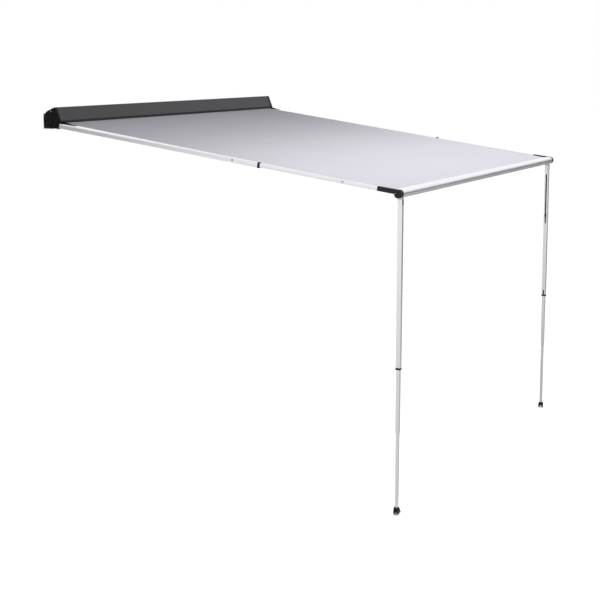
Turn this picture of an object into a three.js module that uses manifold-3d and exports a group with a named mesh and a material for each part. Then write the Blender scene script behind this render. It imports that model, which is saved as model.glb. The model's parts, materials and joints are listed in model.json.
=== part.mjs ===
// Vehicle side awning, opened out: a case that hangs on the vehicle's side, a canopy wound on
// a roller inside it, a lead rail that carries two folding legs, and a rafter at each end.
// Millimetres, +Z up. X runs along the case and -Y points away from the vehicle. The origin is
// the centre of the middle wall bracket's back face, which lies against the vehicle.

import * as THREE from 'three';
import { mergeVertices } from 'three/addons/utils/BufferGeometryUtils.js';
import Module from 'manifold-3d';

// Overall layout. The lip is the lower front edge of the case.
const caseLength = 3000;
const projection = 2500; // lip to the axis of the lead rail's round front, level
const railDrop = 388; // lip down to the underside of the lead rail
const legHeight = 1957; // underside of the lead rail down to the ground
const seat = 0.3; // between fixed neighbours
const cutOver = 2; // how far a cutter runs past what it cuts

// Case section. Places are back from the lip and up from it.
const faceHeight = 105;
const faceLean = 43;
const seamBack = 11; // the front panel's top flange, behind the face's top edge
const shoulderBack = 90;
const shoulderUp = 83;
const crownIn = 20; // back plane to the crown's bend
const crownUp = 71;
const shellDepth = 140;
const backTopUp = 32;
const heelUp = -24;
const heelIn = 12;
const trayUp = -38;
const trayFront = 74;
const trayFlange = 7;
const shellRound = 12;
const shellWall = 2.2;
const panelWall = 2.6;
const sealHeight = 13;
const sealWall = 4.5;

// End caps
const capThick = 22;
const capProud = 2.5;
const capRound = 14;
const capEdge = 3;
const capScrewRadius = 4;
const capScrewProud = 1.2;
const capScrewBack = 76;
const capScrewUp = 74;

// Wall brackets
const bracketPlate = 4.7;
const bracketWidth = 80;
const bracketTop = 60;
const bracketFootUp = -45;
const bracketFootFront = 78;
const bracketInset = 4;
const boltRadius = 4.3;
const boltSpacing = 64;

// Roller, its axle and what is left wound on it
const rollerRadius = 25;
const rollerWall = 1.8;
const rollerGap = 14; // end cap to the roller tube
const axleRadius = 6;
const axleSeat = 8;
const plugDepth = 30;
const plugFlange = 4;
const runningGap = 0.4;
const wrapPitch = 1.7;
const wrapTurns = 2;
const clothThick = 1.2;
const tangentBack = 72; // where the canopy leaves the roll

// Canopy
const canopyMargin = 46; // case end to the canopy's side edge
const canopyUp = -4.8; // canopy's middle plane below the lip
const edgeSag = 9;
const middleSag = 24;
const canopyCells = 16;
const canopyRows = 20;

// Lead rail section. Places are forward from its back face and up from its underside.
const railHeight = 52;
const railStraight = 30;
const railWall = 3;
const railRound = 4;
const railInset = 32; // end of the case to the end of the rail's cap
const railCapThick = 6;
const railCapEdge = 2;
const channelBack = 7;
const channelWidth = 34;
const channelHeight = 39.5;
const kederIn = 8;
const kederUp = 46.5;
const kederRadius = 3;
const kederGap = 0.8;
const kederMouth = 3.2;
const chamberBack = 16;
const mainGrooveDown = 4; // below the round front's middle
const mainGrooveWidth = 8;
const mainGrooveDepth = 1.9;
const fineGrooveWidth = 3;
const fineGrooveDepth = 1.4;

// Rafters. Lengths run along the rafter, places forward of the lip are level.
const rafterInset = 15; // end of the case to the rafter's middle
const rafterUp = -24.5; // rafter's axis at the lip
const rafterWidth = 24;
const rafterHeight = 34;
const rafterCrown = 9;
const rafterEdge = 3;
const rafterWall = 2;
const leftPinBack = 22; // the two pins stand one behind the other, so the folded
const rightPinBack = 52; // rafters pass each other
const pinRadius = 4;
const pinGap = 0.25;
const knucklePlug = 46;
const collarShare = 0.617; // the collar's place along the projection
const collarLength = 14;
const collarProud = 1.5;
const collarPlug = 24;
const innerWidth = 17;
const innerHeight = 26;
const innerEdge = 4;
const innerWall = 2;
const innerOverlap = 250;
const travelSpare = 28; // between collar and elbow when pushed in
const buttonBefore = 182; // button to collar
const buttonRadius = 4.5;
const buttonProud = 2.5;
const buttonTravel = 2.5;
const buttonGap = 0.4;
const elbowReach = 135; // socket's mouth to the rail's round front
const elbowHeight = 28;
const elbowWall = 3;
const elbowEdge = 2;
const hubRadius = 26;
const hubDrop = 10;
const hubBoss = 20;
const hubGap = 0.5;
const elbowStop = 38; // end of the inner tube to the hub's centre
const elbowScrewBack = 18;
const elbowScrewRadius = 3.6;
const elbowScrewProud = 1.2;

// Rafter hinge housings at the case ends
const housingFront = 8; // back from the lip
const housingBack = 70;
const housingPlate = 4.4;
const housingInner = 23;
const housingOuter = 14.7;
const housingEdge = 1.5;
const housingPocket = 5;

// Legs. Depth is across the rail, breadth along it. Places are down from the rail's underside.
const legInset = 18; // end of the rail's cap to the leg's outer face
const legDepth = 30;
const legBreadth = 26;
const legCorner = 3;
const legWall = 2;
const legPinUp = 8;
const legPinRadius = 3;
const legHeadDown = 12;
const legHeadPlug = 26;
const coverTop = 14;
const coverHeight = 32;
const coverBreadth = 19;
const coverProud = 0.8;
const coverCorner = 3;
const slotTop = 82;
const slotBottom = 468;
const slotWidth = 10;
const tabTop = 394;
const tabHeight = 38;
const tabWidth = 8.6;
const tabProud = 12;
const tabLip = 4;
const legCollarDown = 1038;
const legCollarLength = 12;
const legCollarProud = 0.8;
const legCollarPlug = 20;
const leverHeight = 36;
const leverWidth = 9;
const leverThick = 3.6;
const leverGap = 0.4;
const middleDepth = 24;
const middleBreadth = 20;
const middleWall = 1.7;
const middleTop = 378;
const middleBottom = 1445;
const lowerDepth = 19.4;
const lowerBreadth = 15.4;
const lowerWall = 1.7;
const lowerTop = 985;
const tubeCorner = 2;

// Feet
const footLength = 48;
const footDepth = 30;
const footSole = 7;
const footPinUp = 25; // above the ground
const footCheekTop = 20; // above the pin
const footCheekTopLength = 17;
const footPinRadius = 3;
const footTubeDown = 7; // lower tube's end below the pin
const footGap = 0.5;
const footTilt = 0.24; // as it hangs, outer edge lower

// Facets. A drawn arc gets twice its steps.
const bendSteps = 3;
const cornerSteps = 2;
const domeSteps = 6;
const roundSteps = 12;
const bevelSteps = 2;
const mergeDistance = 1e-4;

// Worked-out places
const halfCase = caseLength / 2;
const crownBack = shellDepth - crownIn;
const lipY = -(shellDepth + bracketPlate);
const lipZ = -(bracketTop + bracketFootUp) / 2;
const railRadius = railHeight / 2;
const railDepth = railStraight + railRadius;
const railBackY = lipY - projection + railStraight;
const railBottomZ = lipZ - railDrop;
const halfRail = halfCase - railInset - railCapThick;
const halfShell = halfCase - capThick - seat;
const halfRoller = halfShell + seat - rollerGap;
const canopyRun = projection - railStraight + kederIn;
const canopySlope = Math.atan((railDrop - kederUp + canopyUp) / canopyRun);
const wrapRadius = rollerRadius + seat + wrapTurns * wrapPitch;
const tangent = caseAt(tangentBack, canopyUp + tangentBack * Math.tan(canopySlope));
const rollerRise = wrapRadius + clothThick / 2;
const rollerY = tangent.x - rollerRise * Math.sin(canopySlope);
const rollerZ = tangent.y + rollerRise * Math.cos(canopySlope);
const hubRun = projection;
const hubFall = rafterUp + railDrop - railRadius;
const hubReach = Math.hypot(hubRun, hubFall);
const rafterSlope = Math.atan2(hubFall, hubRun) - Math.asin(hubDrop / hubReach);
const hubAlong = Math.sqrt(hubReach ** 2 - hubDrop ** 2); // from the axis point at the lip
const rafterX = halfCase - rafterInset;
const legX = halfCase - railInset - legInset - legBreadth / 2;
const collarForward = projection * collarShare;
const elbowForward = projection - elbowReach;
const innerTravel = elbowForward - collarForward - collarLength - travelSpare;
const legY = railBackY - channelBack - channelWidth / 2;
const legPinZ = railBottomZ + legPinUp;
const groundZ = railBottomZ - legHeight;

const wasm = await Module();
wasm.setup();

// Finishes
const anthracite = { color: 0x545257, roughness: 0.5, metalness: 0.3 };
const blackPlastic = { color: 0x232225, roughness: 0.55, metalness: 0 };
const silver = { color: 0xdedee2, roughness: 0.35, metalness: 0.8 };
const steel = { color: 0xa9abb0, roughness: 0.4, metalness: 0.9 };
const rubber = { color: 0x1a1a1c, roughness: 0.85, metalness: 0 };
const cloth = { color: 0xd6d4da, roughness: 0.9, metalness: 0 };

const axisX = new THREE.Vector3(1, 0, 0);
const axisY = new THREE.Vector3(0, 1, 0);
const axisZ = new THREE.Vector3(0, 0, 1);
// How an outline is turned: its own two axes and the way it is drawn out
const alongX = new THREE.Matrix4().makeBasis(axisY, axisZ, axisX);
const alongRafter = new THREE.Matrix4().makeBasis(axisX, axisZ, axisY.clone().negate());
const alongY = new THREE.Matrix4().makeBasis(axisZ, axisX, axisY);
const alongLeg = new THREE.Matrix4().makeBasis(axisX, axisY.clone().negate(), axisZ.clone().negate());
const alongZ = new THREE.Matrix4();

const group = new THREE.Group();

function add(parent, name, geometry, finish) {
  const mesh = new THREE.Mesh(geometry, new THREE.MeshStandardMaterial(finish));
  mesh.name = name;
  parent.add(mesh);
  return mesh;
}

function caseAt(back, up) {
  return new THREE.Vector2(lipY + back, lipZ + up);
}

function railAt(forward, up) {
  return new THREE.Vector2(railBackY - forward, railBottomZ + up);
}

// Booleans
function toSolid(geometry) {
  const bare = geometry.clone();
  bare.deleteAttribute('normal');
  bare.deleteAttribute('uv');
  const merged = mergeVertices(bare, mergeDistance);
  return new wasm.Manifold(
    new wasm.Mesh({
      numProp: 3,
      vertProperties: new Float32Array(merged.attributes.position.array),
      triVerts: new Uint32Array(merged.index.array),
    }),
  );
}

function toGeometry(solid) {
  const mesh = solid.getMesh();
  const geometry = new THREE.BufferGeometry();
  const places = new Float32Array(mesh.vertProperties);
  geometry.setAttribute('position', new THREE.BufferAttribute(places, 3));
  geometry.setIndex([...mesh.triVerts]);
  return geometry;
}

function cut(geometry, ...cutters) {
  const start = toSolid(geometry);
  return toGeometry(cutters.reduce((solid, cutter) => solid.subtract(toSolid(cutter)), start));
}

function join(geometry, ...others) {
  const start = toSolid(geometry);
  return toGeometry(others.reduce((solid, other) => solid.add(toSolid(other)), start));
}

// Outlines
function rounded(points, radius, closed = false) {
  const count = points.length;
  const result = [];
  points.forEach((point, i) => {
    const isEnd = !closed && (i === 0 || i === count - 1);
    const before = points[(i + count - 1) % count];
    const after = points[(i + 1) % count];
    const halfShare = 0.45;
    const reach = isEnd
      ? 0
      : Math.min(radius, before.distanceTo(point) * halfShare, after.distanceTo(point) * halfShare);
    if (reach === 0) {
      result.push(point.clone());
      return;
    }
    const from = point.clone().lerp(before, reach / before.distanceTo(point));
    const to = point.clone().lerp(after, reach / after.distanceTo(point));
    result.push(...new THREE.QuadraticBezierCurve(from, point, to).getPoints(bendSteps));
  });
  return result;
}

// The band between a bent line and the same line moved to its right by the wall
function band(points, wall) {
  const last = points.length - 1;
  const inner = points.map((point, i) => {
    const ahead = points[Math.min(i + 1, last)].clone().sub(points[Math.min(i, last - 1)]).normalize();
    const behind = points[Math.max(i, 1)].clone().sub(points[Math.max(i - 1, 0)]).normalize();
    const way = ahead.add(behind).normalize();
    const right = new THREE.Vector2(way.y, -way.x);
    return point.clone().addScaledVector(right, wall / way.dot(behind));
  });
  return [...points, ...inner.reverse()];
}

function ovalPath(path, width, height, topRadius, bottomRadius) {
  const x = width / 2;
  const y = height / 2;
  const half = Math.PI / 2;
  path.absarc(x - topRadius, y - topRadius, topRadius, 0, half);
  path.absarc(topRadius - x, y - topRadius, topRadius, half, Math.PI);
  path.absarc(bottomRadius - x, bottomRadius - y, bottomRadius, Math.PI, Math.PI + half);
  path.absarc(x - bottomRadius, bottomRadius - y, bottomRadius, -half, 0);
  path.closePath();
  return path;
}

function block(width, height, topRadius, bottomRadius = topRadius) {
  return ovalPath(new THREE.Shape(), width, height, topRadius, bottomRadius);
}

function hollow(width, height, wall, topRadius, bottomRadius = topRadius) {
  const shape = block(width, height, topRadius, bottomRadius);
  const inside = [width - wall * 2, height - wall * 2];
  const radii = [topRadius, bottomRadius].map((radius) => Math.max(radius - wall, wall / 2));
  shape.holes.push(ovalPath(new THREE.Path(), ...inside, ...radii));
  return shape;
}

function disc(radius, x = 0, y = 0) {
  return new THREE.Shape().absarc(x, y, radius, 0, Math.PI * 2);
}

// Draws an outline out between two places along one of the turns above
function drawn(shape, from, to, turn, bevel = 0, steps = cornerSteps) {
  const low = Math.min(from, to);
  const geometry = new THREE.ExtrudeGeometry(shape, {
    depth: Math.abs(to - from) - bevel * 2,
    bevelEnabled: bevel > 0,
    bevelThickness: bevel,
    bevelSize: bevel,
    bevelOffset: -bevel,
    bevelSegments: bevelSteps,
    curveSegments: steps,
  });
  return geometry.translate(0, 0, low + bevel).applyMatrix4(turn);
}

function rod(radius, from, to, turn, x = 0, y = 0) {
  return drawn(disc(radius, x, y), from, to, turn, 0, radius > pinRadius ? roundSteps : domeSteps);
}

function box(lowX, highX, lowY, highY, lowZ, highZ) {
  const [sizeX, sizeY, sizeZ] = [highX - lowX, highY - lowY, highZ - lowZ].map(Math.abs);
  const geometry = new THREE.BoxGeometry(sizeX, sizeY, sizeZ);
  return geometry.translate((lowX + highX) / 2, (lowY + highY) / 2, (lowZ + highZ) / 2);
}

// Case
function faceAt(up) {
  return caseAt((faceLean * up) / faceHeight, up);
}

function seamUp(back) {
  return faceHeight - ((back - faceLean) * (faceHeight - shoulderUp)) / (shoulderBack - faceLean);
}

function caseBody() {
  const start = faceLean + seamBack + seat * 2;
  const outline = rounded(
    [
      caseAt(start, seamUp(start)),
      caseAt(shoulderBack, shoulderUp),
      caseAt(crownBack, crownUp),
      caseAt(shellDepth, backTopUp),
      caseAt(shellDepth, heelUp),
      caseAt(shellDepth - heelIn, trayUp),
      caseAt(trayFront, trayUp),
      caseAt(trayFront, trayUp + trayFlange),
    ],
    shellRound,
  );
  return drawn(new THREE.Shape(band(outline, shellWall)), -halfShell, halfShell, alongX);
}

function frontPanel() {
  const end = faceLean + seamBack;
  const outline = rounded(
    [faceAt(sealHeight + seat), faceAt(faceHeight), caseAt(end, seamUp(end))],
    shellRound / 2,
  );
  return drawn(new THREE.Shape(band(outline, panelWall)), -halfShell, halfShell, alongX);
}

function lipSeal() {
  const outline = rounded(band([faceAt(seat), faceAt(sealHeight)], sealWall), sealWall / 2, true);
  return drawn(new THREE.Shape(outline), -halfShell, halfShell, alongX);
}

// A place beside the rafter's axis: how far back from the lip, and how far off the axis
function rafterAt(back, off) {
  const axis = caseAt(back, rafterUp + back * Math.tan(rafterSlope));
  return axis.add(new THREE.Vector2(-off * Math.sin(rafterSlope), off * Math.cos(rafterSlope)));
}

function endCap(side) {
  const lobeBack = housingBack + seat * 2;
  const lobeTop = rafterAt(lobeBack, rafterHeight / 2 + housingPlate + seat * 3);
  const lobeFall = (trayUp - capProud + lipZ - rafterAt(lobeBack, 0).y) / Math.cos(rafterSlope);
  const outline = rounded(
    [
      lobeTop,
      caseAt(-capProud, 0),
      caseAt(faceLean - capProud, faceHeight + capProud),
      caseAt(shoulderBack, shoulderUp + capProud),
      caseAt(crownBack, crownUp + capProud),
      caseAt(shellDepth - seat, backTopUp + capProud),
      caseAt(shellDepth - seat, heelUp),
      caseAt(shellDepth - heelIn, trayUp - capProud),
      rafterAt(lobeBack, lobeFall),
    ],
    capRound,
  );
  const cap = drawn(new THREE.Shape(outline), side * (halfCase - capThick), side * halfCase, alongX, capEdge);
  const inner = halfCase - capThick;
  const seatEnd = inner + axleSeat + seat;
  return cut(
    cap,
    rod(axleRadius + seat, side * (inner - cutOver), side * seatEnd, alongX, rollerY, rollerZ),
  );
}

function capScrew(side) {
  const place = caseAt(capScrewBack, capScrewUp);
  const face = side * (halfCase + seat);
  const head = disc(capScrewRadius, place.x, place.y);
  return drawn(head, face, face + side * capScrewProud, alongX, seat, domeSteps);
}

function wallBracket(x) {
  const top = caseAt(0, bracketTop).y;
  const foot = caseAt(0, bracketFootUp).y;
  const outline = [
    new THREE.Vector2(0, top),
    new THREE.Vector2(0, foot),
    new THREE.Vector2(caseAt(bracketFootFront, 0).x, foot),
  ];
  const shape = new THREE.Shape(band(outline, bracketPlate - seat));
  const plate = drawn(shape, x - bracketWidth / 2, x + bracketWidth / 2, alongX);
  const holes = [-1, 1].map((end) =>
    rod(boltRadius, -bracketPlate - cutOver, cutOver, alongY, (end * boltSpacing) / 2, x),
  );
  return cut(plate, ...holes);
}

// Roller
function rollerPlug(side) {
  const bore = rollerRadius - rollerWall - seat;
  const end = halfRoller + seat;
  const flange = drawn(disc(rollerRadius), side * end, side * (end + plugFlange), alongX, 0, roundSteps);
  const body = rod(bore, side * (end + plugFlange / 2), side * (end - plugDepth), alongX);
  const near = end - plugDepth - cutOver;
  const far = end + plugFlange + cutOver;
  const hole = rod(axleRadius + runningGap, side * near, side * far, alongX);
  return cut(join(flange, body), hole);
}

function clothWraps() {
  const stepsPerTurn = roundSteps * 2;
  const end = canopySlope - Math.PI / 2 + seat / wrapRadius;
  const points = [];
  for (let i = 0; i <= wrapTurns * stepsPerTurn; i++) {
    const angle = end - (i / stepsPerTurn) * Math.PI * 2;
    const radius = rollerRadius + seat + (i / stepsPerTurn) * wrapPitch;
    points.push(new THREE.Vector2(radius * Math.cos(angle), radius * Math.sin(angle)));
  }
  const shape = new THREE.Shape(band(points.reverse(), clothThick));
  return drawn(shape, canopyMargin - halfCase, halfCase - canopyMargin, alongX);
}

// Canopy: one sheet, sagging most in its middle
function canopy() {
  const halfWidth = halfCase - canopyMargin;
  const hemGap = kederRadius + seat;
  const start = tangent;
  const end = railAt(kederIn - hemGap, kederUp + hemGap * Math.tan(canopySlope));
  const places = [];
  const index = [];
  const rowLength = canopyCells + 1;
  for (const face of [1, -1]) {
    for (let row = 0; row <= canopyRows; row++) {
      for (let cell = 0; cell <= canopyCells; cell++) {
        const across = (cell / canopyCells) * 2 - 1;
        const along = row / canopyRows;
        const depth = edgeSag + (middleSag - edgeSag) * (1 - across ** 2);
        const sag = 4 * along * (1 - along) * depth;
        const z = start.y + (end.y - start.y) * along - sag + (face * clothThick) / 2;
        places.push(across * halfWidth, start.x + (end.x - start.x) * along, z);
      }
    }
  }
  const layer = rowLength * (canopyRows + 1);
  const quad = (a, b, c, d) => index.push(a, b, c, a, c, d);
  for (let row = 0; row < canopyRows; row++) {
    for (let cell = 0; cell < canopyCells; cell++) {
      const a = row * rowLength + cell;
      quad(a, a + rowLength, a + rowLength + 1, a + 1);
      quad(a + layer, a + layer + 1, a + layer + rowLength + 1, a + layer + rowLength);
    }
  }
  for (let cell = 0; cell < canopyCells; cell++) {
    const far = canopyRows * rowLength + cell;
    quad(cell, cell + 1, cell + 1 + layer, cell + layer);
    quad(far + 1, far, far + layer, far + 1 + layer);
  }
  for (let row = 0; row < canopyRows; row++) {
    const near = row * rowLength;
    const far = near + canopyCells;
    quad(near + rowLength, near, near + layer, near + rowLength + layer);
    quad(far, far + rowLength, far + rowLength + layer, far + layer);
  }
  const geometry = new THREE.BufferGeometry();
  geometry.setAttribute('position', new THREE.Float32BufferAttribute(places, 3));
  geometry.setIndex(index);
  return geometry;
}

// Lead rail
// The lead rail's straight back, from under its front to the start of the round front
function railBack(first) {
  const places = [first, railAt(0, 0), railAt(0, railHeight), railAt(railStraight, railHeight)];
  return rounded(places, railRound);
}

function frontArc(radius, lastForward, grooves) {
  const endAngle = -Math.acos((lastForward - railStraight) / radius);
  const points = [];
  const at = (angle, inset) => {
    const reach = radius - inset;
    return railAt(railStraight + reach * Math.cos(angle), railRadius + reach * Math.sin(angle));
  };
  const stops = [{ angle: Math.PI / 2 }, ...grooves, { angle: endAngle }];
  stops.forEach((stop, i) => {
    if (stop.width) {
      const half = stop.width / 2 / radius;
      points.push(at(stop.angle + half, 0), at(stop.angle + half, stop.depth));
      points.push(at(stop.angle - half, stop.depth), at(stop.angle - half, 0));
    } else {
      points.push(at(stop.angle, 0));
    }
    const next = stops[i + 1];
    if (!next) return;
    const steps = Math.max(1, Math.round(((stop.angle - next.angle) / Math.PI) * domeSteps * 2));
    for (let k = 1; k < steps; k++) {
      points.push(at(stop.angle + ((next.angle - stop.angle) * k) / steps, 0));
    }
  });
  return points;
}

function leadRail() {
  const channelFront = channelBack + channelWidth;
  const grooves = [
    { angle: -Math.asin(mainGrooveDown / railRadius), width: mainGrooveWidth, depth: mainGrooveDepth },
    { angle: -Math.PI / 6, width: fineGrooveWidth, depth: fineGrooveDepth },
    { angle: -Math.PI / 4, width: fineGrooveWidth, depth: fineGrooveDepth },
  ];
  const back = railBack(railAt(channelBack, 0));
  const outline = [
    ...back.slice(0, -1),
    ...frontArc(railRadius, channelFront, grooves),
    railAt(channelFront, channelHeight),
    railAt(channelBack, channelHeight),
  ];
  const shape = new THREE.Shape(outline);
  const chamber = [
    ...frontArc(railRadius - railWall, channelFront + railWall, []),
    railAt(channelFront + railWall, channelHeight + railWall / 2),
    railAt(chamberBack, channelHeight + railWall / 2),
    railAt(chamberBack, railHeight - railWall),
  ];
  shape.holes.push(new THREE.Path(chamber));
  const rail = drawn(shape, -halfRail, halfRail, alongX);
  const pocket = railAt(kederIn, kederUp);
  const mouthUp = pocket.y + (kederIn / 2) * Math.tan(canopySlope);
  const reach = halfRail + cutOver;
  return cut(
    rail,
    rod(kederRadius + kederGap, -reach, reach, alongX, pocket.x, pocket.y),
    box(-reach, reach, pocket.x, railBackY + cutOver, mouthUp - kederMouth / 2, mouthUp + kederMouth / 2),
  );
}

function railCap(side) {
  const outline = [
    ...railBack(railAt(railStraight, 0)),
    ...frontArc(railRadius, railStraight, []).slice(1, -1),
  ];
  const from = halfRail + seat;
  return drawn(new THREE.Shape(outline), side * from, side * (halfRail + railCapThick), alongX, railCapEdge);
}

// Rafters, drawn with the pin at the origin and the rafter along -Y
function rafterSection() {
  return hollow(rafterWidth, rafterHeight, rafterWall, rafterCrown, rafterEdge);
}

function rafterFill(width, height) {
  return block(width, height, rafterCrown - rafterWall, rafterEdge / 2);
}

function fits(inner) {
  return inner - (rafterWall + seat) * 2;
}

// A plug that fits inside the rafter's outer tube
function rafterPlug(from, to) {
  return drawn(rafterFill(fits(rafterWidth), fits(rafterHeight)), from, to, alongRafter);
}

function knuckle() {
  const radius = rafterWidth / 2;
  const end = new THREE.Shape();
  end.absarc(0, 0, radius, 0, Math.PI);
  end.lineTo(-radius, -radius - seat);
  end.lineTo(radius, -radius - seat);
  end.closePath();
  const head = drawn(end, -rafterHeight / 2, rafterHeight / 2, alongZ, 0, domeSteps);
  const plug = rafterPlug(radius / 2, radius + knucklePlug);
  return cut(join(head, plug), rod(pinRadius + pinGap, -rafterHeight, rafterHeight, alongZ));
}

function rafterTube(side, from, to, buttonAt) {
  const tube = drawn(rafterSection(), from, to, alongRafter);
  const outer = (side * rafterWidth) / 2;
  return cut(
    tube,
    rod(
      buttonRadius + buttonGap,
      outer - side * rafterWall * 2,
      outer + side * cutOver,
      alongX,
      -buttonAt,
      0,
    ),
  );
}

function rafterCollar(at) {
  const proud = collarProud * 2;
  const flange = block(rafterWidth + proud, rafterHeight + proud, rafterCrown, rafterEdge);
  const ring = drawn(flange, at + seat, at + seat + collarLength, alongRafter, collarProud / 2);
  const plug = rafterPlug(at - collarPlug, at + collarLength / 2);
  const bore = block(innerWidth + seat * 2, innerHeight + seat * 2, innerEdge);
  const from = at - collarPlug - cutOver;
  return cut(join(ring, plug), drawn(bore, from, at + collarLength + cutOver, alongRafter));
}

function innerTube(side, from, to, buttonAt) {
  const tube = drawn(hollow(innerWidth, innerHeight, innerWall, innerEdge), from, to, alongRafter);
  const outer = (side * innerWidth) / 2;
  const holes = [buttonAt, buttonAt + innerTravel].map((at) =>
    rod(buttonRadius + buttonGap * 2, outer - side * innerWall * 2, outer + side * cutOver, alongX, -at, 0),
  );
  return cut(tube, ...holes);
}

function rafterButton(side, at) {
  const inner = innerWidth / 2 + buttonGap;
  const outer = rafterWidth / 2 + buttonProud;
  return drawn(disc(buttonRadius, -at, 0), side * inner, side * outer, alongX, buttonGap, domeSteps);
}

// The elbow: a socket over the inner tube that drops to a round hub at the rail's end
function elbow(side, from, hub) {
  const half = elbowHeight / 2;
  const outline = new THREE.Shape();
  outline.moveTo(-from, -half);
  outline.lineTo(-from, half);
  outline.lineTo(-hub, hubRadius - hubDrop);
  outline.absarc(-hub, -hubDrop, hubRadius, Math.PI / 2, Math.PI * 2 - Math.asin(hubDrop / hubRadius), false);
  outline.lineTo(-hub + Math.sqrt(hubRadius ** 2 - (half - hubDrop) ** 2), -half);
  outline.closePath();
  const face = (side * rafterWidth) / 2;
  const body = drawn(outline, -face, face, alongX, elbowEdge, roundSteps);
  const bossEnd = rafterInset + hubGap - railInset;
  const boss = rod(hubBoss, side * bossEnd, 0, alongX, -hub, -hubDrop);
  const socket = block(innerWidth + seat * 2, innerHeight + seat, innerEdge);
  return cut(join(body, boss), drawn(socket, from - cutOver, hub - elbowStop + seat, alongRafter));
}

function elbowScrew(side, hub) {
  const face = (side * rafterWidth) / 2 + side * seat;
  const place = disc(elbowScrewRadius, elbowScrewBack - hub, -hubDrop);
  return drawn(place, face, face + side * elbowScrewProud, alongX, seat, domeSteps);
}

// The housing that carries a rafter's pin, open to the front and to the middle of the awning
function housing(side, pinBack) {
  const half = rafterHeight / 2 + seat;
  const front = housingFront - pinBack;
  const back = housingBack - pinBack;
  const wallStart = rafterWidth / 2 + seat * 2;
  const side0 = -side * housingInner;
  const side1 = side * housingOuter;
  const plan = new THREE.Shape(
    rounded(
      [
        new THREE.Vector2(side0, front),
        new THREE.Vector2(side1, front),
        new THREE.Vector2(side1, back),
        new THREE.Vector2(side0, back),
      ],
      housingPocket,
      true,
    ),
  );
  const body = drawn(plan, -half - housingPlate, half + housingPlate, alongZ, housingEdge);
  const reach = side0 - side * cutOver;
  const passage = box(reach, side * (rafterWidth / 2 + seat), front - cutOver, wallStart, -half, half);
  const pocket = box(
    side0 + side * housingPocket,
    side1 - side * housingPocket,
    wallStart + housingPocket,
    back - housingPocket,
    -half - housingPlate - cutOver,
    half - housingPocket,
  );
  const pinReach = half + housingPlate + cutOver;
  const pinHole = rod(pinRadius + pinGap, -pinReach, pinReach, alongZ);
  return cut(body, passage, pocket, pinHole);
}

function addRafter(name, side, pinBack) {
  const frame = new THREE.Group();
  const pin = rafterAt(pinBack, 0);
  frame.position.set(side * rafterX, pin.x, pin.y);
  frame.rotation.x = rafterSlope;
  group.add(frame);
  const along = (forward) => (forward + pinBack) / Math.cos(rafterSlope);
  const start = rafterWidth / 2 + seat * 2;
  const collarAt = along(collarForward);
  const buttonAt = along(collarForward - buttonBefore);
  const hub = hubAlong + pinBack / Math.cos(rafterSlope);
  const innerStart = collarAt - innerOverlap;
  const plate = rafterHeight / 2 + housingPlate;

  add(frame, `rafter_housing_${name}`, housing(side, pinBack), blackPlastic);
  add(frame, `rafter_pin_${name}`, rod(pinRadius, -plate, plate, alongZ), steel);
  add(frame, `rafter_knuckle_${name}`, knuckle(), blackPlastic);
  add(frame, `rafter_outer_tube_${name}`, rafterTube(side, start, collarAt, buttonAt), silver);
  add(frame, `rafter_collar_${name}`, rafterCollar(collarAt), blackPlastic);
  add(frame, `rafter_button_${name}`, rafterButton(side, buttonAt), blackPlastic);
  add(frame, `rafter_inner_tube_${name}`, innerTube(side, innerStart, hub - elbowStop, buttonAt), silver);
  add(frame, `rafter_elbow_${name}`, elbow(side, along(elbowForward), hub), blackPlastic);
  add(frame, `elbow_screw_${name}`, elbowScrew(side, hub), steel);
}

// Legs, drawn with the pin at the origin and the leg along -Z. An outline's second axis points
// to the front, and its first along X.
// A plug that fits inside the leg's upper tube
function legPlug(from, to) {
  const fit = (legWall + seat) * 2;
  return drawn(block(legBreadth - fit, legDepth - fit, legCorner / 2), from, to, alongLeg);
}

function legHead() {
  const radius = legBreadth / 2;
  const side = new THREE.Shape();
  side.absarc(0, 0, radius, -Math.PI / 2, Math.PI / 2);
  side.lineTo(-legPinUp - legHeadDown, radius);
  side.lineTo(-legPinUp - legHeadDown, -radius);
  side.closePath();
  const head = drawn(side, -legDepth / 2, legDepth / 2, alongY, legWall / 2, domeSteps);
  const plug = legPlug(legPinUp, legPinUp + legHeadDown + legHeadPlug);
  return cut(join(head, plug), rod(legPinRadius + pinGap, -legDepth, legDepth, alongY));
}

function legUpperTube(side) {
  const from = legPinUp + legHeadDown + seat;
  const section = hollow(legBreadth, legDepth, legWall, legCorner);
  const tube = drawn(section, from, legPinUp + legCollarDown, alongLeg);
  const inner = (-side * legBreadth) / 2;
  const slot = box(
    inner - side * cutOver,
    inner + side * (legWall + seat),
    -slotWidth / 2,
    slotWidth / 2,
    -legPinUp - slotTop,
    -legPinUp - slotBottom,
  );
  return cut(tube, slot, legCoverBlock(seat));
}

// The moulded cover let into the leg's front face, or with a gap round it the opening for it
function legCoverBlock(gap) {
  const shape = block(coverHeight + gap * 2, coverBreadth + gap * 2, coverCorner);
  const front = -(legDepth / 2 + (gap ? cutOver : coverProud));
  const bevel = gap ? 0 : coverProud / 2;
  const cover = drawn(shape, front, -(legDepth / 2 - legWall - gap), alongY, bevel);
  return cover.translate(0, 0, -(legPinUp + coverTop + coverHeight / 2));
}

function legCollar() {
  const at = legPinUp + legCollarDown + seat;
  const proud = legCollarProud * 2;
  const end = at + legCollarLength;
  const outer = block(legBreadth + proud, legDepth + proud, legCorner);
  const ring = drawn(outer, at, end, alongLeg, legCollarProud / 2);
  const plug = legPlug(at - legCollarPlug, at + legCollarLength / 2);
  const bore = block(middleBreadth + seat * 2, middleDepth + seat * 2, tubeCorner);
  return cut(join(ring, plug), drawn(bore, at - legCollarPlug - cutOver, end + cutOver, alongLeg));
}

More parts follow.
